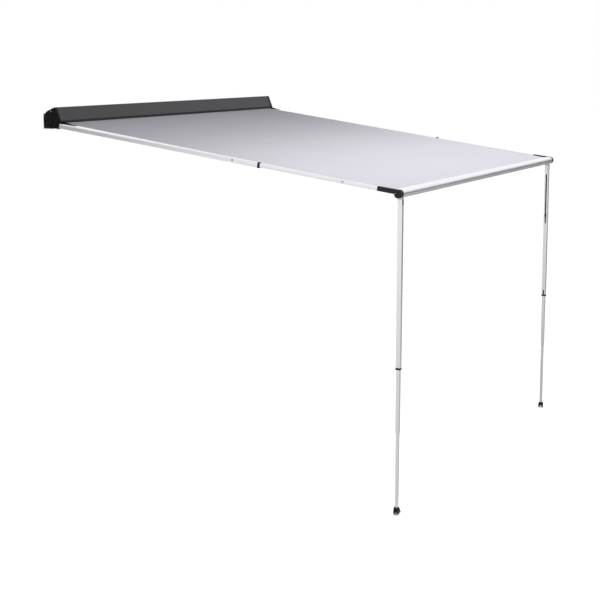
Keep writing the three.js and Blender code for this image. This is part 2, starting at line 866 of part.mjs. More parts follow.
// The catch on the collar: a thumb lever on the leg's inner face
function legLever(side) {
  const face = legBreadth / 2 + leverGap;
  const bottom = -legPinUp - legCollarDown;
  const top = bottom + leverHeight;
  const points = [
    new THREE.Vector2(top, face),
    new THREE.Vector2(bottom, face),
    new THREE.Vector2(bottom, face + leverThick),
    new THREE.Vector2(bottom + leverHeight / 2, face + leverThick / 2),
    new THREE.Vector2(top, face + leverThick / 2),
  ].map((point) => new THREE.Vector2(point.x, -side * point.y));
  return drawn(new THREE.Shape(points), -leverWidth / 2, leverWidth / 2, alongY, leverGap);
}

// The thumb tab on the middle tube's top, which travels in the upper tube's slot
function legTab(side) {
  const base = middleBreadth / 2 + seat;
  const face = legBreadth / 2 + tabProud;
  const top = -legPinUp - tabTop;
  const points = [
    new THREE.Vector2(top, base),
    new THREE.Vector2(top - tabHeight, base),
    new THREE.Vector2(top - tabHeight, legBreadth / 2 + tabLip / 2),
    new THREE.Vector2(top - tabLip, face),
    new THREE.Vector2(top, face),
  ].map((point) => new THREE.Vector2(point.x, -side * point.y));
  return drawn(new THREE.Shape(points), -tabWidth / 2, tabWidth / 2, alongY, seat);
}

function legTube(breadth, depth, wall, from, to) {
  return drawn(hollow(breadth, depth, wall, tubeCorner), legPinUp + from, legPinUp + to, alongLeg);
}

function foot() {
  const length = footLength / 2;
  const cheek = footCheekTopLength / 2;
  const side = new THREE.Shape(
    rounded(
      [
        new THREE.Vector2(-footPinUp, -length),
        new THREE.Vector2(footSole - footPinUp, -length),
        new THREE.Vector2(footCheekTop, -cheek),
        new THREE.Vector2(footCheekTop, cheek),
        new THREE.Vector2(footSole - footPinUp, length),
        new THREE.Vector2(-footPinUp, length),
      ],
      footSole / 2,
      true,
    ),
  );
  const body = drawn(side, -footDepth / 2, footDepth / 2, alongY, footGap);
  const gap = lowerDepth / 2 + footGap;
  const room = box(-footLength, footLength, -gap, gap, footSole - footPinUp, footCheekTop + cutOver);
  return cut(body, room, rod(footPinRadius + pinGap, -footDepth, footDepth, alongY));
}

function addLeg(name, side) {
  const frame = new THREE.Group();
  frame.position.set(side * legX, legY, legPinZ);
  group.add(frame);
  const pinReach = channelWidth / 2 - seat;
  const footPin = legHeight + legPinUp - footPinUp;
  const middle = legTube(middleBreadth, middleDepth, middleWall, middleTop, middleBottom);
  const lowerBottom = legHeight - footPinUp + footTubeDown;
  const lower = legTube(lowerBreadth, lowerDepth, lowerWall, lowerTop, lowerBottom);
  const ankleHole = rod(footPinRadius + pinGap, -lowerDepth, lowerDepth, alongY, -footPin);

  add(frame, `leg_pin_${name}`, rod(legPinRadius, -pinReach, pinReach, alongY), steel);
  add(frame, `leg_head_${name}`, legHead(), steel);
  add(frame, `leg_upper_tube_${name}`, legUpperTube(side), silver);
  add(frame, `leg_cover_${name}`, legCoverBlock(0), blackPlastic);
  add(frame, `leg_collar_${name}`, legCollar(), blackPlastic);
  add(frame, `leg_lever_${name}`, legLever(side), blackPlastic);
  add(frame, `leg_tab_${name}`, legTab(side), blackPlastic);
  add(frame, `leg_middle_tube_${name}`, middle, silver);
  add(frame, `leg_lower_tube_${name}`, cut(lower, ankleHole), silver);
  const ankle = new THREE.Group();
  ankle.position.z = -footPin;
  ankle.rotation.y = side * footTilt;
  frame.add(ankle);
  const footPinReach = footDepth / 2 - footGap;
  add(ankle, `foot_${name}`, foot(), rubber);
  add(ankle, `foot_pin_${name}`, rod(footPinRadius, -footPinReach, footPinReach, alongY), steel);
}

// Assembly
add(group, 'case_body', caseBody(), anthracite);
add(group, 'front_panel', frontPanel(), anthracite);
add(group, 'lip_seal', lipSeal(), rubber);
const ends = [
  ['left', -1, leftPinBack],
  ['right', 1, rightPinBack],
];
for (const [name, side, pinBack] of ends) {
  add(group, `end_cap_${name}`, endCap(side), blackPlastic);
  add(group, `end_cap_screw_${name}`, capScrew(side), steel);
  const bracketX = halfCase - bracketInset - bracketWidth / 2;
  add(group, `wall_bracket_${name}`, wallBracket(side * bracketX), steel);
}
add(group, 'wall_bracket_middle', wallBracket(0), steel);

const roller = new THREE.Group();
roller.position.set(0, rollerY, rollerZ);
group.add(roller);
const tubeShape = disc(rollerRadius);
tubeShape.holes.push(new THREE.Path().absarc(0, 0, rollerRadius - rollerWall, 0, Math.PI * 2));
add(roller, 'roller_tube', drawn(tubeShape, -halfRoller, halfRoller, alongX, 0, roundSteps), steel);
add(roller, 'roller_plug_left', rollerPlug(-1), blackPlastic);
add(roller, 'roller_plug_right', rollerPlug(1), blackPlastic);
add(roller, 'canopy_wraps', clothWraps(), cloth);
const axleEnd = halfCase - capThick + axleSeat;
add(roller, 'roller_axle', rod(axleRadius, -axleEnd, axleEnd, alongX), steel);
add(group, 'canopy', canopy(), cloth);

add(group, 'lead_rail', leadRail(), silver);
add(group, 'rail_cap_left', railCap(-1), blackPlastic);
add(group, 'rail_cap_right', railCap(1), blackPlastic);
const kederAt = railAt(kederIn, kederUp);
const kederEnd = halfCase - canopyMargin;
add(group, 'canopy_keder', rod(kederRadius, -kederEnd, kederEnd, alongX, kederAt.x, kederAt.y), cloth);

for (const [name, side, pinBack] of ends) {
  addRafter(name, side, pinBack);
  addLeg(name, side);
}

export default group;
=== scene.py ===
# Vehicle side awning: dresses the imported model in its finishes, hangs the cloth, and sets the stage.
import json
import math

import bmesh
import bpy
from mathutils import Matrix, Vector, noise


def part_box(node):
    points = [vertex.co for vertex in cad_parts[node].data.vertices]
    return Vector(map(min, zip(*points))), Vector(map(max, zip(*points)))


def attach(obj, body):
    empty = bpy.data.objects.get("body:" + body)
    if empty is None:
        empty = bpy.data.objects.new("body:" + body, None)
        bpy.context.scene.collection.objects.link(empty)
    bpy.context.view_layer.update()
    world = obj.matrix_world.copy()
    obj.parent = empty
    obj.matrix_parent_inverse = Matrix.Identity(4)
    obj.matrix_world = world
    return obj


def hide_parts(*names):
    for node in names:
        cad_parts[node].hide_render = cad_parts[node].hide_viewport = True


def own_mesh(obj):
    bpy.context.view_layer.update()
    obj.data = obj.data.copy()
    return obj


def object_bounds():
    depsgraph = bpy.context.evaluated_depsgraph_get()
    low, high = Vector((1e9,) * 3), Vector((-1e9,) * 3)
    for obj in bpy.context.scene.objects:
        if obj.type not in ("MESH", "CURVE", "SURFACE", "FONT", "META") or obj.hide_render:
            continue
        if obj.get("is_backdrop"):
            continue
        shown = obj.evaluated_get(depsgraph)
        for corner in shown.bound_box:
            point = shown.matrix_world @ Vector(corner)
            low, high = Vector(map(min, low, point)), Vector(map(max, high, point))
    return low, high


bl_info = {
    "name": "Vehicle side awning",
    "version": (1, 0, 0),
    "blender": (4, 5, 0),
    "location": "View3D > Sidebar > Awning",
    "description": "Finishes, cloth, fittings, lights and camera for the awning model",
    "category": "Object",
}

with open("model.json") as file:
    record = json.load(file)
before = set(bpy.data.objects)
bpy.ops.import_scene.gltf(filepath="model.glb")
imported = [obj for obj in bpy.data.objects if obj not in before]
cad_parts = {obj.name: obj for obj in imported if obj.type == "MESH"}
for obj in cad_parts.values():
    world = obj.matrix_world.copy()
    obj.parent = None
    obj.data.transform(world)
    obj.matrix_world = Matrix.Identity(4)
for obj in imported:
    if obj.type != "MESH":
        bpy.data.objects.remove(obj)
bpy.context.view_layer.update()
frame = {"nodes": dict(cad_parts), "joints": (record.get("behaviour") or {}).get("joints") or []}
JOINTS = {joint["name"]: joint for joint in frame["joints"]}
SIDES = {"left": -1, "right": 1}
MM = 0.001
UP = Vector((0, 0, 1))
WHITE = (1, 1, 1, 1)


def linear(hex_code):
    """An sRGB hex value as linear red, green and blue."""
    parts = [int(hex_code[i : i + 2], 16) / 255 for i in (1, 3, 5)]
    return [p / 12.92 if p <= 0.04045 else ((p + 0.055) / 1.055) ** 2.4 for p in parts]


def colour(name, description, hex_code):
    return bpy.props.FloatVectorProperty(
        name=name, description=description, subtype="COLOR", size=3, min=0, max=1, default=linear(hex_code)
    )


def number(name, description, default, **more):
    return bpy.props.FloatProperty(name=name, description=description, default=default, **more)


def length(name, description, default):
    return number(name, description, default, min=0, unit="LENGTH", precision=4)


# Settings


class AwningColours(bpy.types.PropertyGroup):
    shell: colour("Case", "Powder coat of the case", "#4b494e")
    # set darker than the nylon mouldings: painted shade for the end caps, which stand in shade
    shaded_end_moulding: colour("End mouldings", "Black ABS of the end caps and hinge housings", "#121113")
    moulding: colour("Mouldings", "Black nylon of elbows, collars and catches", "#252329")
    extrusion: colour("Extrusions", "Anodised aluminium of rail, rafters and legs", "#f7f6fa")
    plain_alloy: colour("Plain alloy", "Bare aluminium of brackets, leg heads and roller", "#d9dadd")
    zinc: colour("Zinc", "Plated steel of pins and screws", "#c6c6c2")
    rubber: colour("Rubber", "Feet and lip seal", "#1b1b1c")
    # the sole's colour is paler than its grey rubber: painted light against the shade under the feet
    sole: colour("Sole", "Grey rubber under the feet", "#e6e4ea")
    cloth: colour("Cloth", "Coated polyester of the canopy", "#e3e1ea")
    thread: colour("Thread", "Stitching of the hems", "#bdbbc2")
    floor: colour("Floor", "Studio floor", "#f4f4f4")
    card: colour("Card", "Grey boards that the metal mirrors", "#c0c0c0")
    # the low boards also glow in this colour, as painted light
    low_card: colour("Low card", "Paler boards by the ground, mirrored by the legs", "#f0f0f0")


class AwningCloth(bpy.types.PropertyGroup):
    thickness: length("Thickness", "Thickness of the coated cloth", 0.6 * MM)
    edge_sag: length("Edge sag", "How far the side edges hang in mid span", 0.5 * MM)
    middle_sag: length("Middle sag", "How far the middle hangs in mid span", 1 * MM)
    sag_shape: number("Sag shape", "1 is a plain hanging curve, more is tauter near the ends", 1.5)
    ripple: length("Ripple", "Height of the soft ripples between the roll and the rail", 0.4 * MM)
    hem: length("Hem", "Width of the stitched side hems", 24 * MM)
    stitch: length("Stitch", "Length of one stitch", 4 * MM)


class AwningRail(bpy.types.PropertyGroup):
    """The lead rail's section: places are forward of its back face and up from its underside."""

    edge: length("Edge", "Rounding of the back's long edges", 3 * MM)
    soft: length("Soft", "Rounding of the small edges", 0.6 * MM)
    hem_in: length("Hem in", "Middle of the hem's round pocket, forward", 8 * MM)
    hem_up: length("Hem up", "Middle of the hem's round pocket, up", 46.5 * MM)
    pocket: length("Pocket", "Radius of the hem's round pocket", 3.8 * MM)
    mouth: length("Mouth", "Height of the slot that the cloth leaves by", 3.2 * MM)
    channel_back: length("Channel back", "Back wall of the legs' channel", 7 * MM)
    channel_width: length("Channel width", "Width of the legs' channel", 34 * MM)
    channel_height: length("Channel height", "Height of the legs' channel", 39.5 * MM)
    groove_down: length("Groove down", "Broad groove below the round front's middle", 4 * MM)
    groove_width: length("Groove width", "Broad groove, along the round", 8 * MM)
    groove_depth: length("Groove depth", "Broad groove, into the wall", 2.2 * MM)
    line_width: length("Line width", "Narrow grooves, along the round", 3 * MM)
    line_depth: length("Line depth", "Narrow grooves, into the wall", 1.6 * MM)


class AwningStage(bpy.types.PropertyGroup):
    camera_place: bpy.props.FloatVectorProperty(
        name="Camera place",
        description="Where the camera stands",
        subtype="TRANSLATION",
        unit="LENGTH",
        default=(-8.71487, -5.78034, 0.44429),
    )
    heading: number("Heading", "Camera's turn from +Y towards +X", 1.05707, subtype="ANGLE")
    dip: number("Dip", "How far the camera looks down", 0.12675, subtype="ANGLE")
    focal: number("Focal length", "Camera lens, in millimetres on a 36 mm frame", 79.644, min=1)
    shift: bpy.props.FloatVectorProperty(
        name="Shift", description="Lens shift as a share of the frame", size=2, default=(0.06667, -0.125)
    )
    key_power: number("Key", "Light over the canopy, in watts", 60, min=0)
    side_power: number("Side", "Light on the left, in watts", 24, min=0)
    ambient: number("Ambient", "Strength of the light from all round", 0.2, min=0)


# Materials


def assign(thing, **values):
    for name, value in values.items():
        setattr(thing, name, value)


def add_node(tree, kind, inputs=None, **properties):
    """Adds a node, sets its properties, and fills each named or numbered input with a value or a link."""
    node = tree.nodes.new(kind)
    assign(node, **properties)
    for name, value in (inputs or {}).items():
        if isinstance(value, bpy.types.NodeSocket):
            tree.links.new(value, node.inputs[name])
        else:
            node.inputs[name].default_value = value
    return node


def blank(name):
    """The empty node tree of a new material."""
    material = bpy.data.materials.new(name)
    material.use_nodes = True
    material.node_tree.nodes.clear()
    return material.node_tree


def skin(tree, inputs):
    """Closes a material with one physically based shader."""
    shader = add_node(tree, "ShaderNodeBsdfPrincipled", inputs)
    add_node(tree, "ShaderNodeOutputMaterial", {"Surface": shader.outputs["BSDF"]})


def even(size):
    """The stretch of a pattern whose steps have this size all ways."""
    return [1 / size] * 3


def rest_place(tree, stretch):
    """Where a point lies on the part at rest, in steps of the pattern along X, Y and Z."""
    place = add_node(tree, "ShaderNodeTexCoord").outputs["Object"]
    return add_node(tree, "ShaderNodeMapping", {"Vector": place, "Scale": stretch}).outputs["Vector"]


def noise_map(tree, stretch, detail=2):
    inputs = {"Vector": rest_place(tree, stretch), "Scale": 1, "Detail": detail}
    return add_node(tree, "ShaderNodeTexNoise", inputs).outputs["Fac"]


def relief(tree, height, strength, depth, over=None):
    """The normal of a surface with this relief, laid over another normal if one is given."""
    inputs = {"Height": height, "Strength": strength, "Distance": depth}
    if over is not None:
        inputs["Normal"] = over
    return add_node(tree, "ShaderNodeBump", inputs).outputs["Normal"]


def between(tree, value, low, high):
    """Runs from low to high as the value runs from 0 to 1."""
    inputs = {"Value": value, "To Min": low, "To Max": high}
    return add_node(tree, "ShaderNodeMapRange", inputs).outputs["Result"]


def shade(tree, base, factor, spread):
    """The base colour, darker and lighter by a share as the factor runs from 0 to 1."""
    low = [c * (1 - spread) for c in base] + [1]
    high = [min(1, c * (1 + spread)) for c in base] + [1]
    mixed = add_node(tree, "ShaderNodeMix", {"Factor": factor, "A": low, "B": high}, data_type="RGBA")
    return mixed.outputs["Result"]


def powder_coat(name, base):
    """Polyester powder baked on aluminium: an even satin skin with a faint orange peel."""
    tree = blank(name)
    peel = noise_map(tree, even(2.2 * MM))
    cloudy = noise_map(tree, [4, 9, 9], detail=3)
    surface = {
        "Base Color": shade(tree, base, cloudy, spread=0.05),
        "Roughness": between(tree, peel, low=0.4, high=0.52),
        "Normal": relief(tree, peel, strength=0.35, depth=0.05 * MM),
        "IOR": 1.5,
        "Specular IOR Level": 0.3,
    }
    skin(tree, surface)


def moulded_abs(name, base):
    """ABS from a textured mould: deep black and closed, with a soft leather-like grain and little shine.
    Its black, deeper than the nylon's, is painted shade.
    """
    tree = blank(name)
    pores = {"Vector": rest_place(tree, even(1.6 * MM)), "Scale": 1}
    cells = add_node(tree, "ShaderNodeTexVoronoi", pores).outputs["Distance"]
    surface = {
        "Base Color": shade(tree, base, cells, spread=0.15),
        "Roughness": between(tree, cells, low=0.5, high=0.62),
        "Normal": relief(tree, cells, strength=0.35, depth=0.05 * MM),
        "IOR": 1.54,
        "Specular IOR Level": 0.12,
    }
    skin(tree, surface)


def moulded_nylon(name, base):
    """Glass-filled nylon from an eroded mould: black and dry, with a fine grain that greys at its edges."""
    tree = blank(name)
    grain = noise_map(tree, even(0.9 * MM), detail=4)  # the real grain is 0.3 mm, too fine to show
    surface = {
        "Base Color": shade(tree, base, grain, spread=0.12),
        "Roughness": between(tree, grain, low=0.46, high=0.62),
        "Normal": relief(tree, grain, strength=0.45, depth=0.06 * MM),
        "IOR": 1.53,
        "Specular IOR Level": 0.3,
    }
    skin(tree, surface)


def anodised_extrusion(name, base, along):
    """Satin anodised aluminium: fine die lines run the way the bar was drawn, under a clear hard skin."""
    tree = blank(name)
    stretch = even(1.1 * MM)  # die lines are about 0.2 mm apart, too fine to show
    stretch[along] = 1.5
    lines = noise_map(tree, stretch, detail=3)
    eased = add_node(tree, "ShaderNodeBevel", {"Radius": 1.4 * MM}, samples=6).outputs["Normal"]
    surface = {
        "Base Color": shade(tree, base, lines, spread=0.04),
        "Metallic": 0.85,
        "Roughness": between(tree, lines, low=0.3, high=0.42),
        "Normal": relief(tree, lines, strength=0.25, depth=0.03 * MM, over=eased),
    }
    skin(tree, surface)


def plain_metal(name, base, roughness, speck):
    """Bare or plated metal: dull, with a mottled skin from the mill or the zinc bath."""
    tree = blank(name)
    mottle = noise_map(tree, even(speck), detail=5)
    surface = {
        "Base Color": shade(tree, base, mottle, spread=0.1),
        "Metallic": 0.9,
        "Roughness": between(tree, mottle, low=roughness - 0.06, high=roughness + 0.1),
        "Normal": relief(tree, mottle, strength=0.2, depth=0.04 * MM),
    }
    skin(tree, surface)


def moulded_rubber(name, base):
    """Moulded rubber: matt, slightly dusty in its hollows."""
    tree = blank(name)
    dust = noise_map(tree, even(6 * MM), detail=6)
    surface = {
        "Base Color": shade(tree, base, dust, spread=0.3),
        "Roughness": 0.82,
        "Normal": relief(tree, dust, strength=0.3, depth=0.1 * MM),
        "IOR": 1.52,
    }
    skin(tree, surface)


def coated_cloth(name, base):
    """Plain-woven polyester with a thin coat: the threads show as a fine grid with a soft sheen."""
    tree = blank(name)
    thread = 2.4 * MM  # the real spacing is 0.5 mm, too fine to show
    threads = {
        "Vector": add_node(tree, "ShaderNodeTexCoord").outputs["Object"],
        "Scale": 1 / thread / math.pi / 2,
        "Distortion": 0.4,
        "Detail": 1,
    }
    waves = []
    for way in ("X", "Y"):
        wave = add_node(tree, "ShaderNodeTexWave", threads, bands_direction=way)
        waves.append(wave.outputs["Fac"])
    weave = add_node(tree, "ShaderNodeMath", dict(enumerate(waves)), operation="MULTIPLY").outputs["Value"]
    cloudy = noise_map(tree, [3, 3, 3], detail=4)
    surface = {
        "Base Color": shade(tree, base, cloudy, spread=0.03),
        "Roughness": 0.78,
        "Normal": relief(tree, weave, strength=0.3, depth=0.12 * MM),
        "IOR": 1.46,
        "Specular IOR Level": 0.2,
        "Sheen Weight": 0.15,
        "Sheen Roughness": 0.4,
    }
    skin(tree, surface)


def spun_thread(name, base):
    """Twisted polyester thread: a tight diagonal lay, a shade darker than the cloth."""
    tree = blank(name)
    lay = {"Vector": rest_place(tree, even(2 * MM)), "Scale": 1}
    twist = add_node(tree, "ShaderNodeTexWave", lay, bands_direction="DIAGONAL").outputs["Fac"]
    skin(tree, {"Base Color": shade(tree, base, twist, spread=0.08), "Roughness": 0.7, "IOR": 1.5})


def grey_card(name, base, glow=0):
    """Painted board: dead matt, with the faint nap of a roller; a glow is painted light that stands for a
    lamp behind it.
    """
    tree = blank(name)
    nap = noise_map(tree, even(4 * MM))
    surface = {
        "Base Color": shade(tree, base, nap, spread=0.03),
        "Roughness": 0.95,
        "Specular IOR Level": 0.1,
        "Emission Color": (*base, 1),
        "Emission Strength": glow,
    }
    skin(tree, surface)


def background_rays(tree):
    """1 for the rays that show the background: seen by the camera, mirrored in metal, or through glass."""
    rays = add_node(tree, "ShaderNodeLightPath")
    shown = rays.outputs["Is Camera Ray"]
    for kind in ("Is Glossy Ray", "Is Transmission Ray"):
        either = add_node(tree, "ShaderNodeMath", {0: shown, 1: rays.outputs[kind]}, operation="MAXIMUM")
        shown = either.outputs["Value"]
    return shown


def studio_floor(name, base):
    """Painted studio floor. The camera sees it as white, with the part's shadow left on it."""
    tree = blank(name)
    matt = add_node(tree, "ShaderNodeBsdfDiffuse", {"Color": (*base, 1)})
    lift = between(tree, background_rays(tree), low=0, high=0.86)
    glow = add_node(tree, "ShaderNodeEmission", {"Color": WHITE, "Strength": lift})
    both = add_node(tree, "ShaderNodeAddShader", {0: matt.outputs["BSDF"], 1: glow.outputs["Emission"]})
    add_node(tree, "ShaderNodeOutputMaterial", {"Surface": both.outputs["Shader"]})


# Pieces


def placed(name, data):
    """A new object in the scene for a mesh, lamp or camera."""
    thing = bpy.data.objects.new(name, data)
    bpy.context.scene.collection.objects.link(thing)
    return thing


def finish(name):
    return bpy.data.materials[name]


def piece_from(name, verts, faces, material, smooth=True):
    mesh = bpy.data.meshes.new(name)
    mesh.from_pydata([tuple(v) for v in verts], [], faces)
    mesh.validate()
    if smooth:
        mesh.shade_smooth()
    mesh.materials.append(finish(material))
    return placed(name, mesh)


def apply_modifier(piece, modifier):
    bpy.context.view_layer.objects.active = piece
    with bpy.context.temp_override(object=piece, active_object=piece, selected_objects=[piece]):
        bpy.ops.object.modifier_apply(modifier=modifier.name)


def thicken(piece, thickness):
    modifier = piece.modifiers.new("Thickness", "SOLIDIFY")
    assign(modifier, thickness=thickness, offset=0)
    return modifier


def place_between(a, b, share):
    return a + (b - a) * share


def end_face(low, high, side):
    """Where the box from low to high ends towards that side, along X."""
    return high.x if side > 0 else low.x


def turned(name, profile, centre, axis, material, steps):
    """A turned solid: the profile's (radius, height) pairs run from the axis round to the axis again."""
    way = Vector(axis).normalized()
    across = way.orthogonal().normalized()
    third = way.cross(across)
    verts, faces, rings = [], [], []
    for radius, height in profile:
        if radius == 0:
            rings.append([len(verts)])
            verts.append(centre + way * height)
            continue
        rings.append(list(range(len(verts), len(verts) + steps)))
        for i in range(steps):
            a = 2 * math.pi * i / steps
            verts.append(centre + way * height + (across * math.cos(a) + third * math.sin(a)) * radius)
    for low, high in zip(rings, rings[1:]):
        for i in range(steps):
            j = (i + 1) % steps
            if len(low) == 1:
                faces.append((low[0], high[j], high[i]))
            elif len(high) == 1:
                faces.append((low[i], low[j], high[0]))
            else:
                faces.append((low[i], low[j], high[j], high[i]))
    return piece_from(name, verts, faces, material)


def soft_corners(points, steps=6):
    """Draws each (across, up, radius) corner of an outline as a curve."""
    line = []
    for i, (across, up, radius) in enumerate(points):
        corner = Vector((across, up))
        if radius == 0:
            line.append(corner)
            continue
        before = Vector(points[i - 1][:2])
        after = Vector(points[(i + 1) % len(points)][:2])
        start = corner + (before - corner).normalized() * radius
        end = corner + (after - corner).normalized() * radius
        for k in range(steps + 1):
            share = k / steps
            first = place_between(start, corner, share)
            line.append(place_between(first, place_between(corner, end, share), share))
    return line


def drawn_bar(name, section, place, bays, material):
    """A section drawn out in equal bays; place puts (share of the length, across, up) in the scene."""
    count = len(section)
    verts = [place(bay / bays, across, up) for bay in range(bays + 1) for across, up in section]
    faces = [tuple(range(count)), tuple(reversed(range(bays * count, (bays + 1) * count)))]
    for bay in range(bays):
        first, second = bay * count, (bay + 1) * count
        for i in range(count):
            j = (i + 1) % count
            faces.append((first + i, second + i, second + j, first + j))
    bar = piece_from(name, verts, faces, material)
    shape = bmesh.new()
    shape.from_mesh(bar.data)
    bmesh.ops.recalc_face_normals(shape, faces=shape.faces)
    shape.to_mesh(bar.data)
    shape.free()
    bar.data.set_sharp_from_angle(angle=math.radians(40))
    return bar


# Cloth

CLOTH_ROWS = 84
CLOTH_COLUMNS = 96


def canopy_line():
    """The canopy at rest: where it leaves the roll, where it enters the rail, and half its width."""
    low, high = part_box("canopy")
    half = 0.6 * MM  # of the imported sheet's thickness
    return Vector((0, high.y, high.z - half)), Vector((0, low.y, low.z + half)), high.x


def stretched(cloth):
    """Gives the function for a point of the stretched cloth.

    Across runs from -1 to 1 between the side edges, along from 0 at the roll to 1 at the rail.
    """
    start, end, half_width = canopy_line()
    ripples_across = 7
    ripples_along = 1.3
    edge_fade = 8

    def place(across, along):
        sag = cloth.edge_sag + (cloth.middle_sag - cloth.edge_sag) * (1 - across**2)
        point = place_between(start, end, along)
        point.x = across * half_width
        point.z -= (4 * along * (1 - along)) ** cloth.sag_shape * sag
        fade = math.sin(math.pi * along) * (1 - across**edge_fade)
        spot = Vector((across * ripples_across, along * ripples_along, 0))
        point.z += cloth.ripple * fade * noise.noise(spot)
        return point

    return place


def canopy_squash(piece):
    """Hangs the piece on the case and gives it a mesh of its own."""
    start, end, _ = canopy_line()
    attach(piece, "case")
    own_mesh(piece)
    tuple(start)


class AWNING_OT_canopy(bpy.types.Operator):
    """Stretch the canopy between the roll and the lead rail"""

    bl_idname = "awning.canopy"
    bl_label = "Canopy"

    def execute(self, context):
        cloth = context.scene.awning_cloth
        place = stretched(cloth)
        verts = [
            place(2 * i / CLOTH_COLUMNS - 1, j / CLOTH_ROWS)
            for j in range(CLOTH_ROWS + 1)
            for i in range(CLOTH_COLUMNS + 1)
        ]
        wide = CLOTH_COLUMNS + 1
        corners = [j * wide + i for j in range(CLOTH_ROWS) for i in range(CLOTH_COLUMNS)]
        faces = [(k, k + wide, k + wide + 1, k + 1) for k in corners]
        canopy = piece_from("canopy_cloth", verts, faces, "coated polyester")
        hems = [self.hem(cloth, name, side) for name, side in SIDES.items()]
        stitches = [self.stitches(cloth, name, side) for name, side in SIDES.items()]
        apply_modifier(canopy, thicken(canopy, cloth.thickness))
        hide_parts("canopy")
        for piece in [canopy, *hems, *stitches]:
            canopy_squash(piece)
        return {"FINISHED"}

    def hem(self, cloth, name, side):
        """The folded and stitched side edge: a second layer on top, closed round the outside."""
        _, _, half_width = canopy_line()
        place = stretched(cloth)
        inner = 1 - cloth.hem / half_width  # these four are shares of the half width
        under = 0.9986
        fold = 0.9990
        rim = 1.0004
        half = cloth.thickness * 0.5
        first = 0.004  # and these two of the canopy's length
        run = 0.992
        section = [
            (inner, half * 1.02),
            (inner + 0.0006, half * 2.6),
            (fold, half * 2.9),
            (rim, half * 1.4),
            (rim, -half * 1.4),
            (fold, -half * 1.5),
            (under, -half * 1.02),
            (under, half * 1.02),
        ]
        verts = []
        for j in range(CLOTH_ROWS + 1):
            for across, up in section:
                point = place(side * min(across, 1), first + run * j / CLOTH_ROWS)
                point.x = side * across * half_width
                verts.append(point + UP * up)
        count = len(section)
        faces = []
        for j in range(CLOTH_ROWS):
            low, high = j * count, (j + 1) * count
            for i in range(count):
                k = (i + 1) % count
                faces.append((low + i, high + i, high + k, low + k))
        faces.append(tuple(reversed(range(count))))
        faces.append(tuple(range(CLOTH_ROWS * count, (CLOTH_ROWS + 1) * count)))
        if side < 0:
            faces = [face[::-1] for face in faces]
        return piece_from(f"canopy_hem_{name}", verts, faces, "coated polyester", smooth=False)

    def stitches(self, cloth, name, side):
        """A lockstitch row along the hem: short bars of thread, one per stitch."""
        start, end, half_width = canopy_line()
        place = stretched(cloth)
        pitch = cloth.stitch * 3  # drawn three times as long as sewn, so that the row shows
        count = int((end - start).length / pitch)
        from_edge = 4 * MM
        across = side * (1 - (cloth.hem - from_edge) / half_width)
        dip = 0.1  # each stitch starts and ends at these shares of its pitch
        rise = 0.85
        crown = 0.3  # its flat top starts and ends this share in
        up = UP * (cloth.thickness * 1.35)
        wide = Vector((0.45 * MM, 0, 0))
        high = UP * (0.35 * MM)
        sides = ((0, 3, 2, 1), (0, 1, 4), (1, 2, 5, 4), (2, 3, 5), (3, 0, 4, 5))
        verts, faces = [], []
        for i in range(1, count):
            a = place(across, (i + dip) / count)
            b = place(across, (i + rise) / count)
            faces += [tuple(len(verts) + k for k in face) for face in sides]
            verts += [a + up - wide, a + up + wide, b + up + wide, b + up - wide]
            verts += [place_between(a, b, share) + up + high for share in (crown, 1 - crown)]
        return piece_from(f"canopy_stitches_{name}", verts, faces, "spun thread", smooth=False)


class AWNING_OT_roll(bpy.types.Operator):
    """Wind the turns of cloth that stay on the roller"""

    bl_idname = "awning.roll"
    bl_label = "Cloth on the roller"

    def execute(self, context):
        low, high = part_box("canopy_wraps")
        tube_low, tube_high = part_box("roller_tube")
        centre = (tube_low + tube_high) / 2
        inner = (tube_high.y - tube_low.y) / 2 + 0.7 * MM
        outer = (high.z - low.z) / 2 - 1.4 * MM
        both_ends = 0.15 - math.pi / 2  # the winding starts and ends just behind its lowest point
        turns = 3
        steps = 48
        points = []
        for i in range(turns * steps + 1):
            angle = both_ends - 2 * math.pi * i / steps
            radius = inner + (outer - inner) * i / (turns * steps)
            y = centre.y + radius * math.cos(angle)
            points.append(Vector((0, y, centre.z + radius * math.sin(angle))))
        verts = [Vector((x, p.y, p.z)) for p in points for x in (low.x, high.x)]
        faces = [(2 * i, 2 * i + 1, 2 * i + 3, 2 * i + 2) for i in range(len(points) - 1)]
        roll = piece_from("canopy_roll", verts, faces, "coated polyester")
        thicken(roll, context.scene.awning_cloth.thickness)
        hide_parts("canopy_wraps")
        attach(roll, "roller")
        return {"FINISHED"}


class AWNING_OT_hem_cord(bpy.types.Operator):
    """Make the corded front hem that slides into the lead rail"""

    bl_idname = "awning.hem_cord"
    bl_label = "Corded hem"

    def execute(self, context):
        low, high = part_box("canopy_keder")
        radius = (high.z - low.z) / 2
        start = Vector((low.x, (low.y + high.y) / 2, (low.z + high.z) / 2))
        edge = 0.8 * MM
        span = high.x - low.x
        bands = 60
        profile = [(0, 0), (radius - edge, 0), (radius, edge)]
        profile += [(radius, edge + (span - 2 * edge) * i / bands) for i in range(1, bands + 1)]
        profile += [(radius - edge, span), (0, span)]
        cord = turned("canopy_corded_hem", profile, start, (1, 0, 0), "coated polyester", steps=20)
        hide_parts("canopy_keder")
        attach(cord, "rail")
        return {"FINISHED"}


# Lead rail


def arc_points(centre, radius, first, last, steps):
    angles = [first + (last - first) * k / steps for k in range(steps + 1)]
    return [(centre[0] + radius * math.cos(a), centre[1] + radius * math.sin(a), 0) for a in angles]


